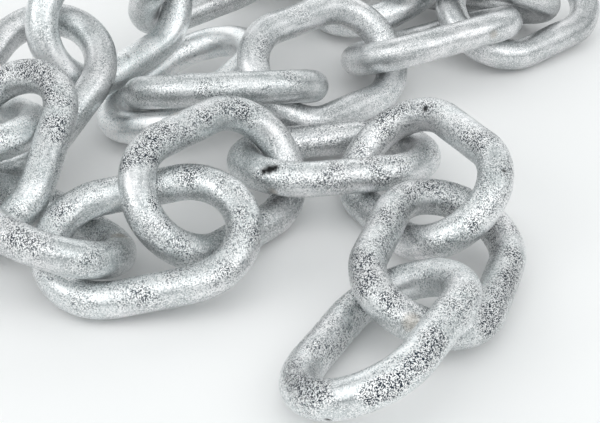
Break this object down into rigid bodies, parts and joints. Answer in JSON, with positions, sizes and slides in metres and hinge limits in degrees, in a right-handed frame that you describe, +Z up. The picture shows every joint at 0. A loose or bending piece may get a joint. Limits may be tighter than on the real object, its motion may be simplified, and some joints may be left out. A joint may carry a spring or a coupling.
{
  "type": "steel chain",
  "caption": "Loose heap of galvanised steel chain, round-wire links threaded through one another and lying as they fell on a level floor, with both end eyes free.",
  "frame": {"origin": "on the floor, under the middle of the heap's box", "axes": "+Z up, -Y towards the side the heap is seen from, +X to that viewer's right"},
  "size_m": [0.2264, 0.2903, 0.0524],
  "materials": {
    "galvanised_steel": "hot-dip galvanised, mottled light grey, satin with bright specks"
  },
  "bodies": {
    "root": {"link_01": "galvanised_steel", "link_02": "galvanised_steel", "link_03": "galvanised_steel", "link_04": "galvanised_steel", "link_05": "galvanised_steel", "link_06": "galvanised_steel", "link_07": "galvanised_steel", "link_08": "galvanised_steel", "link_09": "galvanised_steel", "link_10": "galvanised_steel", "link_11": "galvanised_steel", "link_12": "galvanised_steel", "link_13": "galvanised_steel", "link_14": "galvanised_steel", "link_15": "galvanised_steel", "link_16": "galvanised_steel", "link_17": "galvanised_steel", "link_18": "galvanised_steel", "link_19": "galvanised_steel", "link_20": "galvanised_steel", "link_21": "galvanised_steel", "link_22": "galvanised_steel", "link_23": "galvanised_steel"}
  },
  "joints": []
}
